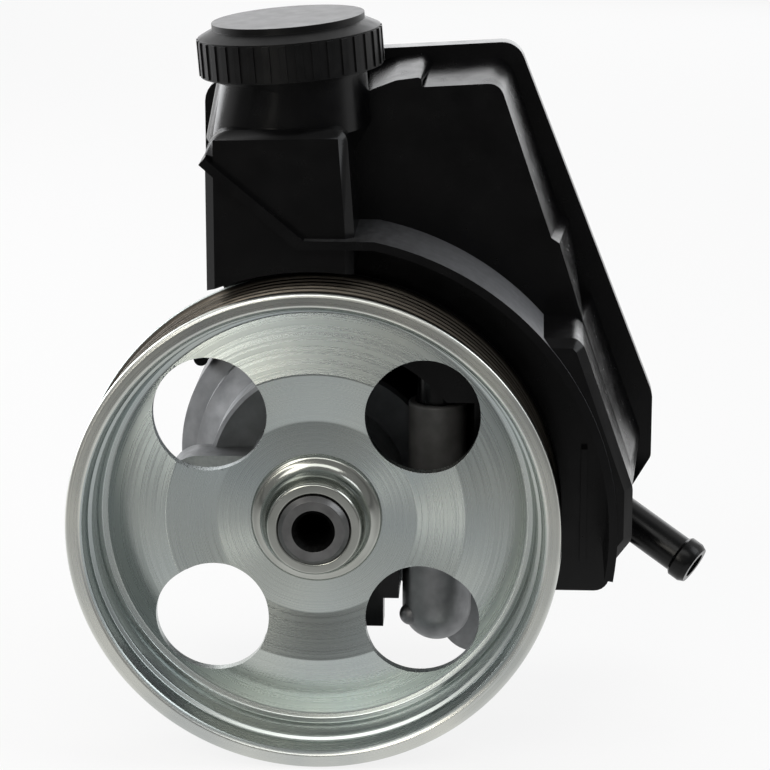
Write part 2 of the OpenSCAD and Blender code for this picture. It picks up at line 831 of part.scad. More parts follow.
module side_block() {
  difference() {
    eased_block(block_pts, block_radii, 0.5 - lip_front, tank_front + over);
    rod(lip_out_r - 0.6, -lip_front - over, tank_front + 2 * over);
  }
}

module neck() {
  flare = 16;
  on_neck() {
    translate([-3.6, 0, 0]) rotate([0, flare, 0]) translate([0, 0, -6]) cylinder(d = neck_d, h = 18);
    cylinder(d = neck_d, h = neck_h);
    translate([0, 0, -9]) cylinder(d1 = neck_d - 13, d2 = neck_d, h = 9);
    for (t = [neck_h - 3.4, neck_h - 6.6]) translate([0, 0, t]) cylinder(d = neck_d + 1.6, h = 1.4);
  }
}

module nozzle() {
  on_nozzle() {
    cylinder(d = nozzle_d, h = nozzle_l - 4);
    translate([0, 0, nozzle_l - 5.2]) cylinder(d1 = nozzle_d, d2 = nozzle_d + 1.6, h = 0.8);
    translate([0, 0, nozzle_l - 4.4]) cylinder(d = nozzle_d + 1.6, h = 3);
    translate([0, 0, nozzle_l - 1.4]) cylinder(d1 = nozzle_d + 1.6, d2 = nozzle_d + 0.2, h = 1.4);
  }
}

module reservoir_front_shell() {
  color([0.05, 0.05, 0.055])
  difference() {
    union() {
      plate(tank_front, flange_y - flange_t + over)
        tank_shape(rounded(tank_pts, tank_radii), 0);
      flange_half(flange_y - flange_t, flange_y);
      filler_box();
      side_block();
      plate(-lip_front, tank_front + over) polygon(lip_pts);
      neck();
      nozzle();
      at_inlet(8) cylinder(r = 5.45, h = stub_top - 8);
      translate([69, tank_front - 2.5, -16]) cube([1.6, 2.5 + over, 32]);
    }
    tank_cavity(tank_front + wall, flange_y + over);
    plate(wall - box_front, tank_front + wall + over) difference() {
      polygon(rounded(grown(box_pts, same(box_pts, -wall)), box_inner_radii));
      circle(r = rim_r + box_gap + wall);
    }
    plate(wall - lip_front + 0.5, tank_front + wall + over) difference() {
      polygon(rounded(grown(block_pts, same(block_pts, -wall)), block_inner_radii));
      circle(r = lip_out_r + 0.4);
    }
    on_neck() translate([0, 0, -1.2]) cylinder(r = neck_bore_r, h = neck_h + 1.2 + over);
    on_nozzle() cylinder(d = nozzle_bore_d, h = nozzle_l + over);
    at_inlet(8 - over) cylinder(r = 4, h = stub_top - 8 + 2 * over);
  }
}

module saddle_foot(a) {
  r = bolt_circle_d / 2;
  difference() {
    rotate([0, -a, 0]) {
      plate(cover_back, cover_back + foot_t) {
        translate([r, 0]) circle(r = 7);
        translate([r, -7]) square([saddle_r + 5 - r, 14]);
      }
      translate([saddle_r + 1, tank_rear - 6, -7]) cube([4, cover_back + foot_t - tank_rear + 6, 14]);
    }
    rotate([0, -a, 0]) translate([r, 0, 0]) rod(bolt_d / 2 + 0.3, cover_back - over, cover_back + foot_t + over);
  }
}

module reservoir_rear_shell() {
  hook_a = 143;
  color([0.05, 0.05, 0.055]) {
    difference() {
      union() {
        flange_half(flange_y, flange_y + flange_t);
        plate(flange_y + flange_t - over, tank_rear) tank_shape(rounded(tank_pts, tank_radii), 0);
        plate(tank_rear - 12, tank_rear - 2)
          polygon(concat(arc(saddle_r + 0.3, 88, hook_a, 24), arc(saddle_r + 3.3, hook_a, 88, 24)));
        rotate([0, -hook_a, 0]) translate([saddle_r + 2, 0, 0]) rod(2, tank_rear - 12, tank_rear - 2);
        saddle_foot(45);
        saddle_foot(135);
      }
      tank_cavity(flange_y - over, tank_rear - wall);
    }
  }
}

module filter_screen() {
  color([0.5, 0.5, 0.48])
  difference() {
    union() {
      at_inlet(stub_top) cylinder(r = 5.4, h = 8);
      at_inlet(stub_top - 6) cylinder(r = 4 - seat_gap, h = 6 + over);
    }
    at_inlet(stub_top - 6 - over) cylinder(r = 3.2, h = 8 + over);
    at_inlet(stub_top + 1) cylinder(r = 4.4, h = 6);
    for (a = [0:60:300])
      at_inlet(stub_top + 2) rotate([0, 0, a]) translate([2, -1.4, 0]) cube([6, 2.8, 4.5]);
  }
}

// Filler cap

module filler_cap() {
  top = cap_y0 + cap_skirt_h;
  lid_top = top + cap_shoulder_h + 1.6;
  color([0.06, 0.06, 0.06])
  on_neck() difference() {
    union() {
      translate([0, 0, cap_y0]) cylinder(r = cap_r - 0.4, h = cap_skirt_h);
      translate([0, 0, top]) cylinder(r1 = cap_r - 0.4, r2 = cap_r - 4.2, h = cap_shoulder_h);
      translate([0, 0, top + cap_shoulder_h - 0.1]) cylinder(r = cap_r - 4.2, h = lid_top - top - cap_shoulder_h + 0.1);
      for (a = [0:10:350])
        rotate([0, 0, a]) translate([cap_r - 1.4, -0.9, cap_y0 + 0.4]) cube([1.4, 1.8, cap_skirt_h - 0.8]);
    }
    translate([0, 0, cap_y0 - over]) cylinder(r = cap_bore_r, h = neck_h + gasket_t - cap_y0 + over);
    translate([0, 0, neck_h]) cylinder(r = neck_bore_r - 0.4, h = lid_top - 2.2 - neck_h);
  }
}

module cap_gasket() {
  color([0.12, 0.12, 0.12])
  on_neck() translate([0, 0, neck_h]) difference() {
    cylinder(r = neck_d / 2 - 0.2, h = gasket_t - 0.1);
    translate([0, 0, -over]) cylinder(r = neck_bore_r + 0.2, h = gasket_t + 2 * over);
  }
}

pulley();
pulley_hub();
drive_shaft();
bearing_outer_race();
bearing_inner_race();
bearing_balls();
bearing_cage();
bearing_snap_ring();
shaft_seal();
pump_housing();
gallery_plug();
front_plate();
cam_ring();
rotor();
vanes();
pressure_plate();
dowel_pins();
pressure_spring();
rear_bush();
rear_cover();
cover_o_ring();
cover_bolts();
flow_valve_spool();
flow_valve_spring();
outlet_union();
union_o_ring();
suction_sleeve();
pipe_clip();
reservoir_front_shell();
reservoir_rear_shell();
filter_screen();
filler_cap();
cap_gasket();
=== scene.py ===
# %% [markdown]
# # A belt-driven steering pump, dressed for its picture
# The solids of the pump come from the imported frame, in metres, with the shaft along Y and Z up.
# This lesson gives them what a solid model lacks: turned steel that catches light along its lathe
# lines, moulded plastic with soft edges, a cast body with a sandy skin. Every piece is made where
# its solid already stands, so nothing is fitted by eye, and a piece that stands in for a solid
# rides on the same moving body.

# %% Load the solids and keep their box
import bpy
import bmesh
import json
import math
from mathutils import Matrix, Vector

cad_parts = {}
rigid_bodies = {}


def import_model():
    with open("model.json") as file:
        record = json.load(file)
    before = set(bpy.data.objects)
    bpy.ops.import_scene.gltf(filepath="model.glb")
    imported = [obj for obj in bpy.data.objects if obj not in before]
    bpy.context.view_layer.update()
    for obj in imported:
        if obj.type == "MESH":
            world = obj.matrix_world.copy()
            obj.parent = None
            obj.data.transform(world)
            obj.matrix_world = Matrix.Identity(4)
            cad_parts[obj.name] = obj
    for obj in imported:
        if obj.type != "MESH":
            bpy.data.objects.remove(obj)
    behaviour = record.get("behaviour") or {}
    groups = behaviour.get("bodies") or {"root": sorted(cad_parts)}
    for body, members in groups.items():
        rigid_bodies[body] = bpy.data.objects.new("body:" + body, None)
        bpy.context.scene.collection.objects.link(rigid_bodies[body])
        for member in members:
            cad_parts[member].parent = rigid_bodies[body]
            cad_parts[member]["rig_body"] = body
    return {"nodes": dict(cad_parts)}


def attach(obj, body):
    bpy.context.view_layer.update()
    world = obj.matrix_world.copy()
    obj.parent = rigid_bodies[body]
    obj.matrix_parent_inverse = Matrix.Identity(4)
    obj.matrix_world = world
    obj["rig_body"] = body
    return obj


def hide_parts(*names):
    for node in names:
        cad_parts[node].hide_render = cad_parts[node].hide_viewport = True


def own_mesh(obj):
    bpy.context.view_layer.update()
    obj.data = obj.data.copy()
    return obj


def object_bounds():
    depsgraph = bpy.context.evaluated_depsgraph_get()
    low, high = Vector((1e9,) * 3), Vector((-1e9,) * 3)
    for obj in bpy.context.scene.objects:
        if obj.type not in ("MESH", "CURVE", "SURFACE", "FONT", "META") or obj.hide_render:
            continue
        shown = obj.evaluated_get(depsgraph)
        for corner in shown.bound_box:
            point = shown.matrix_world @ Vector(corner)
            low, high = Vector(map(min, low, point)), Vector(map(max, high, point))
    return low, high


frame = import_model()
nodes = frame["nodes"]
cad_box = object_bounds()
scene = bpy.context.scene
scene.view_settings.view_transform = "Standard"
MM = 0.001
print("solids:", len(nodes), "box:", [[round(c, 4) for c in corner] for corner in cad_box])

# %% [markdown]
# ## The camera
# The circles of the pulley show as ellipses in the photograph, and their tilt and size give the
# view: about 0.76 m in front, 15 degrees above the shaft, a little to the right, through a long
# lens. A long lens keeps the pulley nearly round. The camera is aimed at a point of the pump, so no
# shift is needed and other views stay centred.

# %% Camera
camera_data = bpy.data.cameras.new("photo_camera")
camera_data.lens = 140.26
camera_data.sensor_width = 36.0
camera = bpy.data.objects.new("photo_camera", camera_data)
camera.location = Vector((0.05515, -0.74216, 0.24095))
aim = Vector((0.0187, -0.0125, 0.0404))
camera.rotation_euler = (aim - camera.location).to_track_quat("-Z", "Y").to_euler()
scene.collection.objects.link(camera)
scene.camera = camera
print("camera stands", round((aim - camera.location).length, 3), "m from its aim")

# %% [markdown]
# ## Finishes from a few nodes
# A real surface is never one number all over. Each finish here starts as one shader, and then gets
# layers: a mottle that moves the colour between two tones, a sheen pattern that moves the
# roughness, and a grain that tips the normal. All of them read the object's own coordinates, so
# they stay put when a part turns, and need no unwrapping. Numbers that are the same all over go
# straight on the shader's sockets.

# %% Two node helpers
def math_node(tree, operation, *values):
    """The result of a math node, whose inputs are sockets or plain numbers."""
    step = tree.nodes.new("ShaderNodeMath")
    step.operation = operation
    for socket, value in zip(step.inputs, values):
        if isinstance(value, (int, float)):
            socket.default_value = value
        else:
            tree.links.new(value, socket)
    return step.outputs[0]


def range_node(tree, value, *limits):
    """A node that carries a value over from one range (low, high) to another (low, high)."""
    ramp = tree.nodes.new("ShaderNodeMapRange")
    for socket, number in zip(("From Min", "From Max", "To Min", "To Max"), limits):
        ramp.inputs[socket].default_value = number
    tree.links.new(value, ramp.inputs["Value"])
    return ramp


print("node helpers ready")


# %% Finish: one material with its layers
class Finish:
    """One material: a shader, and layers of pattern added to it."""

    def __init__(self, name, colour, metallic, roughness, specular=0.5):
        self.material = bpy.data.materials.new(name)
        self.material.use_nodes = True
        self.tree = self.material.node_tree
        self.tree.nodes.clear()
        self.shader = self.node("ShaderNodeBsdfPrincipled")
        output = self.node("ShaderNodeOutputMaterial")
        self.link(self.shader.outputs["BSDF"], output.inputs["Surface"])
        self.set("Base Color", (*colour, 1.0))
        self.set("Metallic", metallic)
        self.set("Roughness", roughness)
        self.set("Specular IOR Level", specular)
        self.place = self.node("ShaderNodeTexCoord").outputs["Object"]
        self.height = None

    def node(self, kind):
        return self.tree.nodes.new(kind)

    def link(self, source, target):
        self.tree.links.new(source, target)

    def set(self, socket, value):
        self.shader.inputs[socket].default_value = value

    def noise(self, size_mm, detail=2.0, place=None, stretch=None):
        """Cloudy noise with spots of about this size."""
        cloud = self.node("ShaderNodeTexNoise")
        cloud.inputs["Scale"].default_value = 1.0 / (size_mm * MM)
        cloud.inputs["Detail"].default_value = detail
        where = place or self.place
        if stretch:
            mapping = self.node("ShaderNodeMapping")
            mapping.inputs["Scale"].default_value = stretch
            self.link(where, mapping.inputs["Vector"])
            where = mapping.outputs["Vector"]
        self.link(where, cloud.inputs["Vector"])
        return cloud.outputs["Fac"]

    def mottle(self, value, dark, light, start=0.3, end=0.7):
        """Colour between two tones."""
        ramp = self.node("ShaderNodeValToRGB")
        for element, position, tone in zip(ramp.color_ramp.elements, (start, end), (dark, light)):
            element.position = position
            element.color = (*tone, 1.0)
        self.link(value, ramp.inputs["Fac"])
        self.link(ramp.outputs["Color"], self.shader.inputs["Base Color"])

    def sheen(self, value, low, high):
        """Roughness between two numbers."""
        ramp = range_node(self.tree, value, 0.3, 0.7, low, high)
        self.link(ramp.outputs["Result"], self.shader.inputs["Roughness"])

    def grain(self, value, depth_mm, strength=1.0):
        """A bump, on top of any bump that is there already."""
        bump = self.node("ShaderNodeBump")
        bump.inputs["Distance"].default_value = depth_mm * MM
        bump.inputs["Strength"].default_value = strength
        self.link(value, bump.inputs["Height"])
        if self.height:
            self.link(self.height, bump.inputs["Normal"])
        self.height = bump.outputs["Normal"]
        self.link(self.height, self.shader.inputs["Normal"])

    def lathe_place(self):
        """Coordinates (distance from the shaft, place along it): a pattern then runs in rings."""
        axes = self.node("ShaderNodeSeparateXYZ")
        self.link(self.place, axes.inputs[0])
        squares = [math_node(self.tree, "MULTIPLY", axes.outputs[axis], axes.outputs[axis])
                   for axis in ("X", "Z")]
        distance = math_node(self.tree, "SQRT", math_node(self.tree, "ADD", *squares))
        rings = self.node("ShaderNodeCombineXYZ")
        self.link(distance, rings.inputs["X"])
        self.link(axes.outputs["Y"], rings.inputs["Y"])
        return rings.outputs[0]

    def turned(self, amount):
        """Lathe lines stretch a highlight across themselves: anisotropy around the shaft."""
        tangent = self.node("ShaderNodeTangent")
        tangent.direction_type = "RADIAL"
        tangent.axis = "Y"
        self.link(tangent.outputs[0], self.shader.inputs["Tangent"])
        self.set("Anisotropic", amount)


print("finishes can be made")


# %% Putting a finish on a piece
def wear(piece, finish):
    """Gives a piece or a solid one finish all over."""
    if piece.material_slots:
        for place in piece.material_slots:
            place.material = finish.material
    else:
        piece.data.materials.append(finish.material)


def wear_on(piece, finish, chosen):
    """Gives a second finish to the faces for which chosen(centre in mm, normal) is true."""
    piece.data.materials.append(finish.material)
    last = len(piece.data.materials) - 1
    count = 0
    for face in piece.data.polygons:
        if chosen(face.center / MM, face.normal):
            face.material_index = last
            count += 1
    print(finish.material.name, "on", count, "faces of", piece.name)


def off_axis(at):
    """Distance of a point from the shaft's axis."""
    return math.hypot(at.x, at.z)


def looks_out(at, out, share):
    """True for a face that looks away from the shaft by more than this share."""
    return out.x * at.x + out.z * at.z > share * off_axis(at)


print("finishes can be worn")

# %% [markdown]
# ## Turned zinc-plated steel
# The pulley is spun from sheet steel, turned, and plated with bright zinc. The lathe leaves rings
# too fine to see one by one, but together they pull each highlight out along the radius, which
# gives the fan of light and dark sectors on the face. So the finish has anisotropy around the
# shaft, ring noise in sheen and bump, and a slow drift between a bluish and a neutral tone
# from the plating bath. The vee grooves get a dark brown finish of their own: its darkness is
# painted shade, as light hardly reaches their roots, on a coating that is thin and brown there.
# The rim's front is turned finer and stays brighter. The shaft is bare steel, and the bore in
# its end is painted near black, a painted shade for the deep hole.

# %% Zinc, hub and rim finishes
zinc = Finish("turned_zinc", (0.47, 0.50, 0.47), 1.0, 0.3)
rings = zinc.noise(0.55, 3.0, zinc.lathe_place())
zinc.mottle(zinc.noise(38.0, 2.0), (0.42, 0.465, 0.47), (0.50, 0.53, 0.50))
zinc.sheen(rings, 0.22, 0.34)
zinc.grain(rings, 0.012, 0.2)
zinc.turned(0.86)

polished = Finish("polished_hub", (0.40, 0.41, 0.38), 1.0, 0.16)
rings = polished.noise(0.4, 3.0, polished.lathe_place())
polished.mottle(polished.noise(9.0), (0.36, 0.37, 0.34), (0.44, 0.45, 0.42))
polished.sheen(rings, 0.12, 0.22)
polished.grain(rings, 0.01, 0.3)
polished.turned(0.4)

rim_face = Finish("bright_rim", (0.60, 0.61, 0.58), 1.0, 0.28)
rings = rim_face.noise(0.4, 3.0, rim_face.lathe_place())
rim_face.mottle(rim_face.noise(25.0, 2.0), (0.52, 0.54, 0.525), (0.70, 0.705, 0.65))
rim_face.sheen(rings, 0.24, 0.34)
rim_face.grain(rings, 0.01, 0.25)
rim_face.turned(0.5)
print("bright finishes:", *(f.material.name for f in (zinc, polished, rim_face)))

# %% Groove, shaft and bore finishes
# The grooves' dark colour is painted shade for their deep roots.
grooved = Finish("belt_grooves", (0.085, 0.075, 0.065), 1.0, 0.42)
rings = grooved.noise(0.4, 3.0, grooved.lathe_place())
grooved.mottle(rings, (0.045, 0.040, 0.034), (0.14, 0.125, 0.105))
grooved.sheen(grooved.noise(3.0, 3.0), 0.36, 0.50)

shaft_steel = Finish("turned_shaft", (0.16, 0.16, 0.16), 1.0, 0.38)
rings = shaft_steel.noise(0.5, 3.0, shaft_steel.lathe_place())
shaft_steel.mottle(shaft_steel.noise(4.0), (0.13, 0.13, 0.13), (0.19, 0.19, 0.19))
shaft_steel.sheen(rings, 0.32, 0.46)
shaft_steel.grain(rings, 0.015, 0.4)

# The bore's near-black colour is painted shade for the deep hole.
bore_painted_shade = Finish("bore_painted_shade", (0.02, 0.02, 0.02), 1.0, 0.45)
bore_painted_shade.mottle(bore_painted_shade.noise(1.5, 3.0), (0.012, 0.012, 0.012), (0.030, 0.030, 0.029))
bore_painted_shade.sheen(bore_painted_shade.noise(0.6, 3.0), 0.38, 0.52)
print("dark finishes:", *(f.material.name for f in (grooved, shaft_steel, bore_painted_shade)))

# %% [markdown]
# ## Die-cast aluminium
# The pump body is cast in a steel die. Its skin is dull and slightly sandy, with soft flow marks
# and darker patches. A coarse noise moves the colour, a fine one makes the sand, and the metal
# stays rough. The pads of the ears are milled flat where the bracket sits, so they show bare
# bright metal.

# %% Cast finish
cast = Finish("die_cast_skin", (0.20, 0.205, 0.21), 1.0, 0.5)
# The base colour is darker than bare aluminium: painted shade for the shadow of the pulley and the
# reservoir over the body.
cast.mottle(cast.noise(7.0, 4.0), (0.16, 0.165, 0.17), (0.24, 0.245, 0.25))
cast.sheen(cast.noise(3.0, 3.0), 0.42, 0.60)
cast.grain(cast.noise(0.9, 4.0), 0.06, 0.6)
cast.grain(cast.noise(14.0, 2.0), 0.12, 0.3)

machined = Finish("machined_pad", (0.42, 0.42, 0.42), 1.0, 0.34)
machined.mottle(machined.noise(1.2, 3.0), (0.37, 0.37, 0.37), (0.47, 0.47, 0.46))
machined.sheen(machined.noise(0.7, 3.0), 0.28, 0.42)
print("cast finishes:", cast.material.name, machined.material.name)

# %% [markdown]
# ## Black plastics and rubber
# The reservoir is moulded from black nylon with some gloss: nearly black where it faces the
# viewer, pale where a face mirrors the bright background at a low angle. That comes from the
# shader alone. A faint wave in the surface, as moulded walls have, keeps the mirror images from
# looking like glass. The top of the drip lip is etched in the mould, with random pale scuffs, and
# its colour climbs along X as painted light: dark at the left end, in the shade of the neck, and
# pale at the lit right end. The cap is matt, with its top disc painted a lighter grey, a painted
# sheen of the light above it, and the sleeve is rubber with a dusty bloom.

# %% Reservoir finishes
nylon = Finish("black_nylon", (0.002, 0.002, 0.0022), 0.0, 0.24, 0.22)
nylon.mottle(nylon.noise(11.0, 4.0), (0.0012, 0.0012, 0.0014), (0.0028, 0.0028, 0.0031))
nylon.sheen(nylon.noise(5.0, 4.0), 0.19, 0.28)
nylon.grain(nylon.noise(12.0, 1.0), 0.05, 0.12)

# The colour's rise along X is painted light: dark at the left end in the neck's shade, pale at the
# lit right end. The scuff spots are random.
PAINTED_LIGHT_START, PAINTED_LIGHT_END, PAINTED_LIGHT_RISE, SCUFF_SPOTS = 10 * MM, 58 * MM, 0.8, 0.3
etched = Finish("etched_nylon", (0.010, 0.010, 0.0105), 0.0, 0.45, 0.2)
across = etched.node("ShaderNodeSeparateXYZ")
etched.link(etched.place, across.inputs[0])
painted_light_ramp = range_node(etched.tree, across.outputs["X"], PAINTED_LIGHT_START, PAINTED_LIGHT_END, 0.0, PAINTED_LIGHT_RISE)
scuffs = etched.noise(1.6, 4.0, stretch=(1.0, 0.25, 1.0))
scuffs = math_node(etched.tree, "MULTIPLY", scuffs, SCUFF_SPOTS)
etched.mottle(math_node(etched.tree, "ADD", painted_light_ramp.outputs["Result"], scuffs),
              (0.002, 0.002, 0.0022), (0.150, 0.154, 0.164), 0.1, 1.0)
etched.sheen(etched.noise(3.0, 3.0), 0.40, 0.52)
etched.grain(etched.noise(0.5, 3.0), 0.02, 0.5)
etched.set("Sheen Weight", 0.04)
etched.set("Sheen Roughness", 0.4)
print("reservoir finishes:", nylon.material.name, etched.material.name)

# %% Cap and sleeve finishes
cap_skin = Finish("matt_cap", (0.003, 0.003, 0.0032), 0.0, 0.38, 0.22)
cap_skin.mottle(cap_skin.noise(6.0, 4.0), (0.0020, 0.0020, 0.0022), (0.0045, 0.0045, 0.0047))
cap_skin.sheen(cap_skin.noise(4.0, 3.0), 0.30, 0.42)
cap_skin.grain(cap_skin.noise(0.45, 3.0), 0.006, 0.4)

# The top disc's lighter grey base is a painted sheen of the light from above; its higher gloss
# comes from the shader.
cap_top = Finish("cap_top_painted_sheen", (0.02, 0.02, 0.021), 0.0, 0.39, 0.4)
cap_top.mottle(cap_top.noise(6.0, 4.0), (0.015, 0.015, 0.016), (0.028, 0.028, 0.029))
cap_top.sheen(cap_top.noise(4.0, 3.0), 0.37, 0.42)
cap_top.grain(cap_top.noise(0.45, 3.0), 0.006, 0.4)

rubber = Finish("sleeve_rubber", (0.06, 0.06, 0.06), 0.0, 0.45, 0.4)
rubber.mottle(rubber.noise(4.0, 4.0), (0.050, 0.049, 0.048), (0.078, 0.076, 0.075))
rubber.grain(rubber.noise(0.4, 3.0), 0.03, 0.6)
print("cap and sleeve finishes:", *(f.material.name for f in (cap_skin, cap_top, rubber)))

# %% [markdown]
# ## A lathe in mesh code
# Turned parts are best built as they are made: one outline, spun round the shaft. The solid's own
# surface is cut into few flat strips, and its edges are knife sharp. Here each corner of the
# outline is first rounded with a small arc, and then spun in many steps, so that edges catch a
# thin line of light as machined edges do.

# %% Lathe helpers
def rounded_outline(points, radius, steps=3):
    """The closed outline with each corner replaced by a short arc."""
    smooth = []
    for i, corner in enumerate(points):
        before, after = Vector(points[i - 1]), Vector(points[(i + 1) % len(points)])
        corner = Vector(corner)
        back, ahead = before - corner, after - corner
        reach = min(radius, 0.4 * back.length, 0.4 * ahead.length)
        start, end = corner + back.normalized() * reach, corner + ahead.normalized() * reach
        for k in range(steps + 1):
            t = k / steps
            smooth.append((1 - t) ** 2 * start + 2 * t * (1 - t) * corner + t ** 2 * end)
    return smooth


def placed(name, mesh):
    """An object in the scene for a finished mesh."""
    mesh.shade_smooth()
    piece = bpy.data.objects.new(name, mesh)
    scene.collection.objects.link(piece)
    return piece


def spun(name, outline, turns=240):
    """A mesh of revolution round the shaft from (radius, y) pairs in millimetres."""
    count = len(outline)
    verts = []
    for step in range(turns):
        angle = 2 * math.pi * step / turns
        verts += [(r * MM * math.cos(angle), y * MM, r * MM * math.sin(angle)) for r, y in outline]
    faces = [
        (s * count + k, s * count + (k + 1) % count,
         (s + 1) % turns * count + (k + 1) % count, (s + 1) % turns * count + k)
        for s in range(turns) for k in range(count)
    ]
    mesh = bpy.data.meshes.new(name)
    mesh.from_pydata(verts, [], faces)
    shape = bmesh.new()
    shape.from_mesh(mesh)
    bmesh.ops.recalc_face_normals(shape, faces=shape.faces)
    shape.to_mesh(mesh)
    shape.free()
    return placed(name, mesh)


print("lathe ready")


# %% Standing in for a solid
def stand_in(piece, node, finish):
    """The piece takes the place and the body of a solid, and wears a finish."""
    wear(piece, finish)
    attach(piece, nodes[node]["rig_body"])
    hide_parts(node)
    print(piece.name, "for", node, "with", len(piece.data.polygons), "faces")


print("pieces can stand in for solids")

# %% [markdown]
# ## The pulley
# A six-rib belt pulley: a deep rim with six vee grooves, a web that rises to a crest on the circle
# of the four access holes, and a raised step inside the rim. The outline repeats the solid's own
# sizes. The holes are cut with a boolean after the spin, and a bevel eases only the hole edges,
# because the other edges are rounded already.

# %% Pulley
RIM, TIP, ROOT, INNER, HALF = 64.0, 63.2, 60.4, 57.5, 12.5
RIBS, PITCH, TIP_HALF, ROOT_HALF = 6, 3.56, 1.4, 0.38
WEB, WEB_FRONT, CREST_FRONT, FLAT, HUB_SEAT = 3.0, 2.8, 0.7, 26.3, 15.0
HOLES, HOLE_RING, HOLE_R, PUNCH_DEPTH = 4, 39.2, 15, 40

front = [(INNER + 2.5, 0.5 - HALF), (INNER + 3.1, -HALF), (RIM - 1, -HALF),
         (RIM - 0.3, 0.3 - HALF), (RIM, 1 - HALF), (RIM, 1.4 - HALF)]
grooves = []
for rib in range(RIBS):
    middle = (rib - (RIBS - 1) / 2) * PITCH
    grooves += [(TIP, middle - TIP_HALF), (ROOT, middle - ROOT_HALF),
                (ROOT, middle + ROOT_HALF), (TIP, middle + TIP_HALF)]
back = [(RIM, HALF - 1.4), (RIM, HALF - 0.5), (RIM - 0.5, HALF), (INNER + 0.6, HALF),
        (INNER, HALF - 0.6), (INNER, 8.6), (INNER - 0.7, 7.7), (INNER - 2.4, 7.1)]
web = [(HOLE_RING, CREST_FRONT + WEB), (FLAT, WEB_FRONT + WEB), (HUB_SEAT, WEB_FRONT + WEB),
       (HUB_SEAT, WEB_FRONT), (FLAT, WEB_FRONT), (HOLE_RING, CREST_FRONT)]
step = [(INNER - 2.4, 4.2), (INNER - 1.1, 3.7), (INNER - 0.2, 2.4), (INNER + 0.2, -5.5),
        (INNER + 1.4, -6.3), (INNER + 1.9, 1.1 - HALF)]
pulley = spun("turned_pulley", rounded_outline(front + grooves + back + web + step, 0.35))
print("pulley spun with", RIBS, "ribs")

# %% Access holes
for hole in range(HOLES):
    angle = math.radians(45 + 360 / HOLES * hole)
    bpy.ops.mesh.primitive_cylinder_add(
        vertices=128, radius=HOLE_R * MM, depth=PUNCH_DEPTH * MM, rotation=(math.pi / 2, 0, 0),
        location=(HOLE_RING * MM * math.cos(angle), 0, HOLE_RING * MM * math.sin(angle)))
    punch = bpy.context.active_object
    cut = pulley.modifiers.new("hole", "BOOLEAN")
    cut.object = punch
    cut.solver = "EXACT"
    bpy.context.view_layer.objects.active = pulley
    bpy.ops.object.modifier_apply(modifier=cut.name)
    bpy.data.objects.remove(punch)
ease = pulley.modifiers.new("hole_edges", "BEVEL")
ease.width, ease.segments, ease.angle_limit = 0.4 * MM, 2, math.radians(60)
level = pulley.modifiers.new("level_normals", "WEIGHTED_NORMAL")
level.keep_sharp = False
print("access holes:", HOLES)

# %% Finishes of the pulley
GROOVE_BAND, GROOVE_HALF = RIM - 4.2, 10.9
RIM_BAND, RIM_FRONT = INNER + 2.6, 0.9 - HALF
stand_in(pulley, "pulley", zinc)
wear_on(pulley, grooved,
        lambda at, out: off_axis(at) > GROOVE_BAND and abs(at.y) < GROOVE_HALF)
wear_on(pulley, rim_face, lambda at, out: off_axis(at) > RIM_BAND and at.y < RIM_FRONT)

# %% [markdown]
# ## The hub
# The hub is pressed into the web and polished. Its foot flares out in a quarter round, which
# mirrors a dark ring round its base.

# %% Hub
COLLAR, BORE, COLLAR_FRONT = 12.5, 9.28, -7.3
FLARE_OUT, FLARE_LONG, FLARE_FOOT, FLARE_STEPS = 4.2, 5.1, 1.6, 12
FOOT, SEAT, SEAT_FRONT, SEAT_BACK = 17.2, 14.97, 2.8, 5.8

collar = rounded_outline([(BORE, COLLAR_FRONT + 0.5), (BORE + 0.5, COLLAR_FRONT),
                          (COLLAR - 0.6, COLLAR_FRONT), (COLLAR, COLLAR_FRONT + 0.6)], 0.25)
flare = []
for i in range(FLARE_STEPS + 1):
    angle = math.radians(90 * i / FLARE_STEPS)
    flare.append((COLLAR + FLARE_OUT * (1 - math.cos(angle)),
                  FLARE_FOOT - FLARE_LONG * (1 - math.sin(angle))))
foot = [(FOOT, 2.2), (FOOT, SEAT_FRONT), (SEAT, SEAT_FRONT), (SEAT, SEAT_BACK), (BORE, SEAT_BACK)]
hub = spun("turned_hub", [tuple(p) for p in collar] + flare + foot)
hub.modifiers.new("level_normals", "WEIGHTED_NORMAL")
stand_in(hub, "pulley_hub", polished)

# %% [markdown]
# ## Eased copies of the mouldings and castings
# Moulded and cast pieces have no knife edges, because the tool that made them had rounded corners.
# Their shapes are already right in the solids, so each one is copied: loose points are merged,
# flat areas become single faces, and a bevel rounds every edge sharper than a limit. Hardened
# normals keep the flat faces flat beside the round edges. A piece may also move some of its points
# before the rounding, as the tank below does.

# %% Eased copy helper
MERGE, FLATNESS = 0.002 * MM, math.radians(0.4)


def eased(node, name, width_mm, finish, segments=3, limit=32, reshape=None):
    """A copy of a solid with soft edges; reshape(shape) may first move some of its points."""
    source = nodes[node].data
    mesh = bpy.data.meshes.new(name)
    mesh.from_pydata([v.co[:] for v in source.vertices], [],
                     [p.vertices[:] for p in source.polygons])
    shape = bmesh.new()
    shape.from_mesh(mesh)
    bmesh.ops.remove_doubles(shape, verts=shape.verts, dist=MERGE)
    bmesh.ops.dissolve_limit(shape, angle_limit=FLATNESS, verts=shape.verts, edges=shape.edges,
                             use_dissolve_boundaries=False)
    if reshape:
        reshape(shape)
    shape.to_mesh(mesh)
    shape.free()
    piece = placed(name, mesh)
    if width_mm:
        bevel = piece.modifiers.new("soft_edges", "BEVEL")
        bevel.width, bevel.segments = width_mm * MM, segments
        bevel.angle_limit = math.radians(limit)
        bevel.use_clamp_overlap = True
        bevel.harden_normals = True
    stand_in(piece, node, finish)
    return piece


print("solids can be eased")

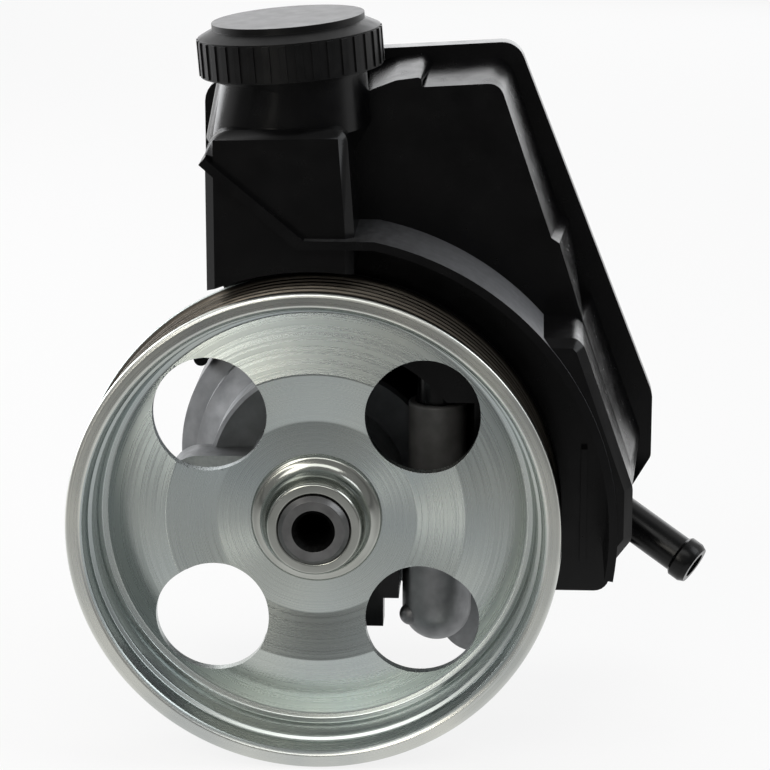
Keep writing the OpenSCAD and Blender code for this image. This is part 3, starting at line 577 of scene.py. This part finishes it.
# %% [markdown]
# ## The reservoir, its cap and the black trim
# Front and rear shells are welded at the flange that runs round the tank. The front one carries
# the filler neck, the drip lip that arches over the belt and the return nozzle. A moulding leaves
# its tool only if its walls lean, and the solid has them straight. So the root of each wall at the
# flange moves out by about three millimetres. The front edges stay where they are, and the walls
# now show as pale bands, because they mirror the bright background over the flange.

# %% Leaning walls of the tank
TANK_FRONT, FLANGE_FRONT, TANK_LEFT, NEAR = 17.5, 43.5, 9.5, 0.05
DRAFT = 2.8
RAMP_END, RAMP_FOOT, RAMP_DRAFT = 28.0, 100, 2.2
LOW, LOW_DRAFT = 30.0, 3.4


def draft_walls(shape):
    """Leans the tank's walls: their roots at the flange move out, and their front edges stay."""
    moves = {}
    for edge in shape.edges:
        ends = sorted(edge.verts, key=lambda v: v.co.y)
        front, root = (v.co / MM for v in ends)
        runs_back = abs(front.y - TANK_FRONT) < NEAR and abs(root.y - FLANGE_FRONT) < NEAR
        if not runs_back or root.x < TANK_LEFT:
            continue
        outward = Vector()
        for face in edge.link_faces:
            outward += face.normal * face.calc_area()
        outward.y = 0
        on_ramp, low_down = root.x < RAMP_END and root.z > RAMP_FOOT, root.z < LOW
        reach = RAMP_DRAFT if on_ramp else LOW_DRAFT if low_down else DRAFT
        moves[ends[1]] = outward.normalized() * reach * MM
    for root, move in moves.items():
        root.co += move
    print("walls leaned at", len(moves), "points")


print("walls lean by", RAMP_DRAFT, "to", LOW_DRAFT, "mm")

# %% Black pieces
LIP_OUT, LIP_BACK, LIP_BAND = 78.2, 17, 1.2
front_shell = eased("reservoir_front_shell", "front_moulding", 0.7, nylon, reshape=draft_walls)
wear_on(front_shell, etched,
        lambda at, out: at.y < LIP_BACK and abs(off_axis(at) - LIP_OUT) < LIP_BAND
        and looks_out(at, out, 0.7))
eased("reservoir_rear_shell", "rear_moulding", 0.7, nylon)

DISC_LEAST = 200 * MM * MM
cap = eased("filler_cap", "screw_cap", 0.4, cap_skin, 2)
disc = max(cap.data.polygons, key=lambda face: face.center.z * (face.area > DISC_LEAST))
disc_at, disc_out = disc.center / MM, disc.normal.copy()
wear_on(cap, cap_top,
        lambda at, out: (at - disc_at).dot(disc_out) > -0.3 and out.dot(disc_out) > 0.9)
eased("pipe_clip", "clip_block", 0.5, nylon)
eased("suction_sleeve", "rubber_sleeve", 0.8, rubber)

# %% [markdown]
# ## The cast body and what is bolted to it
# Body and cover are castings with rounded edges. The bolts, the outlet union and the shaft are
# machined, so their edges are only broken. The shaft's chamfered end has the bore for the puller's
# screw.

# %% Bolt and union finishes
bolt_steel = Finish("phosphated_bolts", (0.16, 0.16, 0.17), 1.0, 0.5)
bolt_steel.mottle(bolt_steel.noise(2.5, 4.0), (0.11, 0.11, 0.12), (0.21, 0.21, 0.21))
bolt_steel.grain(bolt_steel.noise(0.5, 3.0), 0.02, 0.5)
yellow_zinc = Finish("plated_union", (0.50, 0.47, 0.36), 1.0, 0.34)
yellow_zinc.mottle(yellow_zinc.noise(5.0, 3.0), (0.42, 0.41, 0.34), (0.56, 0.52, 0.38))
yellow_zinc.sheen(yellow_zinc.noise(1.5, 3.0), 0.26, 0.42)
print("fastener finishes:", bolt_steel.material.name, yellow_zinc.material.name)

# %% Body, cover, bolts, union and shaft
PAD = 27.5
body = eased("pump_housing", "cast_body", 0.8, cast)
wear_on(body, machined, lambda at, out: out.y < -0.99 and abs(at.y - PAD) < 0.1)
eased("rear_cover", "cast_cover", 0.7, cast)
eased("cover_bolts", "hex_bolts", 0.3, bolt_steel, 2)
eased("outlet_union", "hex_union", 0.3, yellow_zinc, 2)

SHAFT_BORE, BORE_END = 5.7, 17.0


def in_bore(at, out):
    """True for the wall and the floor of the bore in the shaft's end."""
    floor_face = abs(out.y) > 0.9 and at.y > 0
    inside = off_axis(at) < SHAFT_BORE and at.y <= BORE_END + 0.1
    return inside and (floor_face or looks_out(at, -out, 0.3))


shaft = eased("drive_shaft", "machined_shaft", 0.15, shaft_steel, 2)
wear_on(shaft, bore_painted_shade, in_bore)

# %% [markdown]
# ## The pieces inside
# Bearing, cartridge, valve and seals are hidden, but a part that is taken apart shows them, so each
# gets the finish of its trade: ground bearing steel, oily sintered plates, brass, spring wire, soft
# seals and the pale filter. The steel ball that plugs the gallery is dark like the bolts.

# %% Inner finishes
ground = Finish("ground_steel", (0.60, 0.61, 0.62), 1.0, 0.22)
ground.mottle(ground.noise(6.0), (0.55, 0.56, 0.57), (0.66, 0.66, 0.67))
ground.sheen(ground.noise(0.6, 3.0), 0.16, 0.28)
sintered = Finish("sintered_plate", (0.34, 0.34, 0.36), 1.0, 0.4)
sintered.mottle(sintered.noise(0.8, 4.0), (0.27, 0.27, 0.29), (0.42, 0.42, 0.43))
sintered.grain(sintered.noise(0.3, 2.0), 0.01, 0.5)
wire = Finish("spring_wire", (0.22, 0.22, 0.24), 1.0, 0.35)
wire.mottle(wire.noise(3.0, 3.0), (0.17, 0.17, 0.19), (0.28, 0.28, 0.29))
brass = Finish("bearing_brass", (0.55, 0.40, 0.16), 1.0, 0.32)
brass.mottle(brass.noise(4.0, 3.0), (0.46, 0.32, 0.12), (0.62, 0.46, 0.20))
seal = Finish("soft_seal", (0.015, 0.015, 0.015), 0.0, 0.55, 0.4)
seal.mottle(seal.noise(2.0, 3.0), (0.010, 0.010, 0.010), (0.022, 0.022, 0.022))
mesh_nylon = Finish("filter_nylon", (0.52, 0.51, 0.44), 0.0, 0.5)
mesh_nylon.mottle(mesh_nylon.noise(3.0, 3.0), (0.45, 0.44, 0.37), (0.58, 0.57, 0.50))
inner_finishes = (ground, sintered, wire, brass, seal, mesh_nylon)
print("inner finishes:", *(f.material.name for f in inner_finishes))

# %% Dress the solids that stay
inner = {
    ground: ("bearing_outer_race", "bearing_inner_race", "bearing_balls", "vanes", "dowel_pins",
             "flow_valve_spool"),
    bolt_steel: ("gallery_plug",),
    sintered: ("front_plate", "cam_ring", "rotor", "pressure_plate"),
    wire: ("bearing_snap_ring", "pressure_spring"),
    brass: ("bearing_cage", "rear_bush"),
    seal: ("shaft_seal", "cover_o_ring", "union_o_ring", "cap_gasket"),
    mesh_nylon: ("filter_screen",),
}
for finish, names in inner.items():
    for name in names:
        wear(nodes[name], finish)
    print(finish.material.name, "on", ", ".join(names))

# %% [markdown]
# ## The valve's coil spring
# One end of the spring stands on the floor of the valve bore, and the spool pushes the other. No
# single body carries it; a copy of it, with a mesh of its own, stands in for the solid.

# %% Coil spring
coil = eased("flow_valve_spring", "coil_spring", 0, wire)
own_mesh(coil)

# %% [markdown]
# ## Floor and background
# The pump stands on a plain pale floor in soft light. The camera sees the floor and the sky as
# white, and so do mirror rays towards the backdrop, because polished steel and glossy plastic need
# that white to mirror. A studio is darker behind the camera, so mirror rays that go there find a
# dimmer floor and sky, and black walls that face the viewer stay black. The floor still takes a
# little of the lamps' light, so it keeps the shadow.

# %% Helpers for the surroundings
def seen_directly(tree):
    """1 for camera, mirror and transmission rays, 0 for the soft light between surfaces."""
    rays = tree.nodes.new("ShaderNodeLightPath").outputs
    mirrored = math_node(tree, "MAXIMUM", rays["Is Camera Ray"], rays["Is Glossy Ray"])
    return math_node(tree, "MAXIMUM", mirrored, rays["Is Transmission Ray"])


def fading(tree, direction, reach):
    """1 towards the backdrop, falling off for mirror rays towards the room behind the camera."""
    axes = tree.nodes.new("ShaderNodeSeparateXYZ")
    tree.links.new(direction, axes.inputs[0])
    fall = range_node(tree, axes.outputs["Y"], *reach)
    fall.interpolation_type = "SMOOTHSTEP"
    rays = tree.nodes.new("ShaderNodeLightPath").outputs
    return math_node(tree, "MAXIMUM", fall.outputs["Result"], rays["Is Camera Ray"])


print("surroundings can be shaded")

# %% Floor
FLOOR_SIZE, FLOOR_DROP, FLOOR_GLOW = 6.0, 0.0005, 0.85
FRONT_FLOOR = (-0.42, 0.08, 0.05, 1.0)
floor_height = min(cad_box[0][2], cad_box[1][2]) - FLOOR_DROP
bpy.ops.mesh.primitive_plane_add(size=FLOOR_SIZE, location=(0, 0, floor_height))
floor = bpy.context.active_object
floor.name = "studio_floor"

paint = bpy.data.materials.new("pale_floor")
paint.use_nodes = True
tree = paint.node_tree
tree.nodes.clear()
matt = tree.nodes.new("ShaderNodeBsdfDiffuse")
matt.inputs["Color"].default_value = (0.86, 0.86, 0.86, 1)
glow = tree.nodes.new("ShaderNodeEmission")
spot = tree.nodes.new("ShaderNodeNewGeometry").outputs["Position"]
tree.links.new(fading(tree, spot, FRONT_FLOOR), glow.inputs["Strength"])
blend = tree.nodes.new("ShaderNodeMixShader")
share = math_node(tree, "MULTIPLY", seen_directly(tree), FLOOR_GLOW)
for source, socket in zip((share, matt.outputs[0], glow.outputs[0]), blend.inputs):
    tree.links.new(source, socket)
end = tree.nodes.new("ShaderNodeOutputMaterial")
tree.links.new(blend.outputs[0], end.inputs["Surface"])
floor.data.materials.append(paint)
print("floor at", round(floor_height, 4))

# %% Sky
FRONT_SKY = (-0.30, 0.20, 0.30, 1.0)
SOFT_SKY, SEEN_SKY = 0.35, 1.0
world = bpy.data.worlds.new("white_sky")
scene.world = world
world.use_nodes = True
tree = world.node_tree
tree.nodes.clear()
sky = tree.nodes.new("ShaderNodeBackground")
sky.inputs["Color"].default_value = (1, 1, 1, 1)
strength = range_node(tree, seen_directly(tree), 0.0, 1.0, SOFT_SKY, SEEN_SKY)
ray = tree.nodes.new("ShaderNodeTexCoord").outputs["Generated"]
dimmed = math_node(tree, "MULTIPLY", strength.outputs["Result"], fading(tree, ray, FRONT_SKY))
tree.links.new(dimmed, sky.inputs["Strength"])
end = tree.nodes.new("ShaderNodeOutputWorld")
tree.links.new(sky.outputs[0], end.inputs["Surface"])
print("sky seen at", SEEN_SKY, "and lighting at", SOFT_SKY)

# %% [markdown]
# ## The lamps
# Seven soft lamps, each weak enough that a colour renders about as it is written. The upper left
# one and a tall warm strip make the pale sector on the pulley, and the front top one lights its
# lower half. The top lamp only brightens upward faces, so it isn't mirrored. The right lamp picks
# out the drip lip. Two lamps behind the pump draw the pale lines along the mouldings' edges. None
# of them is visible to the camera.

# %% Lamps
LAMP_AIM = Vector((0.01, 0.0, 0.03))


def soft_lamp(name, place, size, power, colour, mirrored=True):
    """A rectangular lamp that shines on the middle of the pump."""
    data = bpy.data.lights.new(name, "AREA")
    data.shape = "RECTANGLE"
    data.size, data.size_y = size
    data.energy = power
    data.color = colour
    lamp = bpy.data.objects.new(name, data)
    lamp.location = place
    lamp.visible_glossy = mirrored
    lamp.visible_camera = False
    lamp.rotation_euler = (LAMP_AIM - Vector(place)).to_track_quat("-Z", "Y").to_euler()
    scene.collection.objects.link(lamp)
    print(name, "at", place, power, "W")


WARM, WARMER, WHITE, COOL = (1.0, 0.97, 0.92), (1.0, 0.96, 0.87), (1.0, 1.0, 1.0), (0.97, 0.98, 1.0)
soft_lamp("upper_left_softbox", (-0.55, -0.65, 0.75), (0.5, 0.5), 2.2, WARM)
soft_lamp("front_strip", (-0.34, -0.95, 0.40), (0.14, 0.70), 1.7, WARMER)
soft_lamp("front_top_softbox", (0.03, -0.75, 0.72), (0.8, 0.35), 1.8, (1.0, 1.0, 0.98))
soft_lamp("top_softbox", (0.1, 0.15, 0.95), (0.7, 0.5), 2.2, WHITE, mirrored=False)
soft_lamp("right_softbox", (0.80, -0.15, 0.62), (0.5, 0.5), 2.5, (0.94, 0.97, 1.0))
soft_lamp("back_softbox", (0.25, 1.30, 0.45), (1.4, 0.9), 4.5, COOL)
soft_lamp("left_back_softbox", (-0.80, 0.60, 0.30), (0.4, 0.6), 4.5, COOL)
